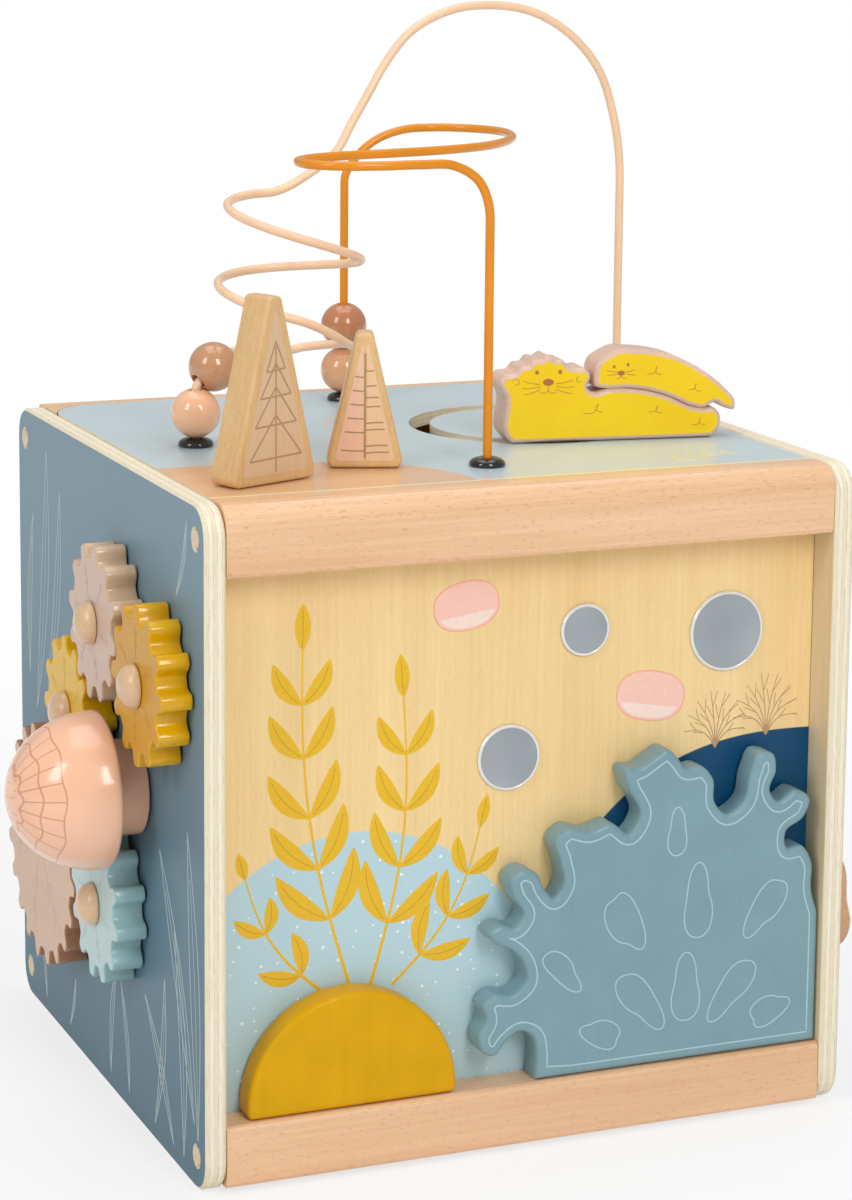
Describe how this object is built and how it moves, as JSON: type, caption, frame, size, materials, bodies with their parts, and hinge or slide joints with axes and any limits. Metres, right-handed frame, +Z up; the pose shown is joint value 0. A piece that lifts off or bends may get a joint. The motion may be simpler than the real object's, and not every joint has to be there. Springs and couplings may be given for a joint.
{
  "type": "wooden activity cube",
  "caption": "Wooden toy cube with bead wires, turning trees and a sliding otter on top, a gear train and a domed knob on one side, and mirrors and relief shapes in front.",
  "frame": {"origin": "on the ground, under the middle of the whole object's box", "axes": "+X towards the cube's right side, +Y towards its back, +Z up; the front with the mirrors faces -Y and the gears face -X"},
  "size_m": [0.3738, 0.282, 0.4884],
  "materials": {
    "beech": "clear matt lacquer",
    "beige": "satin paint",
    "black_cup": "gloss",
    "blue_paint": "satin paint",
    "brown_bead": "satin paint",
    "coral_blue": "satin paint",
    "front_print": "satin paint",
    "light_blue": "satin paint",
    "mirror": "polished",
    "mustard": "satin paint",
    "orange_wire": "satin enamel",
    "otter_yellow": "satin paint",
    "peach": "satin paint",
    "peach_wire": "satin enamel",
    "pink_bead": "satin paint",
    "ply": "clear matt lacquer",
    "steel": "zinc plated",
    "tan_bead": "satin paint",
    "taupe": "satin paint",
    "terracotta_bead": "satin paint",
    "top_print": "satin paint",
    "yellow": "satin paint"
  },
  "bodies": {
    "root": {"back_panel": "blue_paint", "coral": "coral_blue", "cup_orange_back": "black_cup", "cup_orange_front": "black_cup", "cup_peach_left": "black_cup", "cup_peach_right": "black_cup", "disc_hub": "ply", "dowel_left_1": "beech", "dowel_left_2": "beech", "dowel_left_3": "beech", "dowel_left_4": "beech", "dowel_right_1": "beech", "dowel_right_2": "beech", "dowel_right_3": "beech", "dowel_right_4": "beech", "front_panel": "front_print", "gear_back_peg": "beech", "gear_front_peg": "beech", "gear_lower_peg": "beech", "gear_top_peg": "beech", "half_disc": "mustard", "mirror_large": "mirror", "mirror_medium": "mirror", "mirror_small": "mirror", "nut_orange_back": "steel", "nut_orange_front": "steel", "nut_peach_left": "steel", "nut_peach_right": "steel", "rail_bottom_back": "beech", "rail_bottom_front": "beech", "rail_top_back": "beech", "rail_top_front": "beech", "side_panel_left": "blue_paint", "side_panel_right": "blue_paint", "side_relief": "beech", "top_disc": "top_print", "top_panel": "top_print", "under_board": "ply", "wire_orange": "orange_wire", "wire_peach": "peach_wire"},
    "gear_large": {"gear_large": "beige", "gear_large_axle": "beech"},
    "gear_back": {"gear_back": "yellow"},
    "gear_lower": {"gear_lower": "light_blue"},
    "gear_top": {"gear_top": "taupe"},
    "gear_front": {"gear_front": "mustard"},
    "knob": {"dome_knob": "peach", "dome_neck": "peach", "dome_axle": "beech"},
    "tree_big": {"tree_big": "beech", "tree_big_peg": "beech"},
    "tree_small": {"tree_small": "beech", "tree_small_peg": "beech"},
    "otter_slider": {"slider_peg": "beech"},
    "otter": {"otter_adult": "otter_yellow", "otter_young": "otter_yellow"},
    "bead_tan": {"bead_tan": "tan_bead"},
    "bead_terracotta": {"bead_terracotta": "terracotta_bead"},
    "bead_pink": {"bead_pink": "pink_bead"},
    "bead_brown": {"bead_brown": "brown_bead"}
  },
  "joints": [
    {"name": "gear_large_spin", "type": "hinge", "parent": "root", "child": "gear_large", "pos_m": [-0.1362, 0.05693, 0.09884], "axis": [1, 0, 0], "continuous": true},
    {"name": "gear_back_spin", "type": "hinge", "parent": "root", "child": "gear_back", "pos_m": [-0.1362, 0.01186, 0.17325], "axis": [1, 0, 0], "continuous": true},
    {"name": "gear_lower_spin", "type": "hinge", "parent": "root", "child": "gear_lower", "pos_m": [-0.1362, -0.03003, 0.09641], "axis": [1, 0, 0], "continuous": true},
    {"name": "gear_top_spin", "type": "hinge", "parent": "root", "child": "gear_top", "pos_m": [-0.1362, -0.03, 0.2235], "axis": [1, 0, 0], "continuous": true},
    {"name": "gear_front_spin", "type": "hinge", "parent": "root", "child": "gear_front", "pos_m": [-0.1362, -0.09406, 0.21035], "axis": [1, 0, 0], "continuous": true},
    {"name": "knob_spin", "type": "hinge", "parent": "root", "child": "knob", "pos_m": [-0.1284, -0.049, 0.154], "axis": [1, 0, 0], "continuous": true},
    {"name": "tree_big_spin", "type": "hinge", "parent": "root", "child": "tree_big", "pos_m": [-0.0856, -0.091, 0.2933], "axis": [0, 0, 1], "continuous": true},
    {"name": "tree_small_spin", "type": "hinge", "parent": "root", "child": "tree_small", "pos_m": [-0.032, -0.0708, 0.2933], "axis": [0, 0, 1], "continuous": true},
    {"name": "otter_slide", "type": "hinge", "parent": "root", "child": "otter_slider", "pos_m": [0.0806, 0.008, 0.293], "axis": [0, 0, 1], "range_deg": [-45, 47]},
    {"name": "otter_spin", "type": "hinge", "parent": "otter_slider", "child": "otter", "pos_m": [0.09787, -0.03945, 0.2933], "axis": [0, 0, 1], "continuous": true},
    {"name": "bead_tan_slide", "type": "slide", "parent": "root", "child": "bead_tan", "axis": [0, 0, 1], "range_m": [0, 0.029]},
    {"name": "bead_terracotta_slide", "type": "slide", "parent": "bead_tan", "child": "bead_terracotta", "axis": [0, 0, 1], "range_m": [0, 0.029]},
    {"name": "bead_pink_spin", "type": "hinge", "parent": "root", "child": "bead_pink", "pos_m": [-0.0846, 0.0015, 0.30793], "axis": [0, 0, 1], "continuous": true},
    {"name": "bead_brown_slide", "type": "hinge", "parent": "root", "child": "bead_brown", "pos_m": [-0.05582, 0.01163, 0.29673], "axis": [-0.3322, 0.9432, 0], "range_deg": [0, 28]}
  ],
  "couplings": [
    {"joint": "gear_back_spin", "follows": "gear_large_spin", "ratio": -1.6667},
    {"joint": "gear_lower_spin", "follows": "gear_large_spin", "ratio": -1.6667},
    {"joint": "gear_top_spin", "follows": "gear_large_spin", "ratio": 1.6667},
    {"joint": "gear_front_spin", "follows": "gear_large_spin", "ratio": -1.6667}
  ]
}
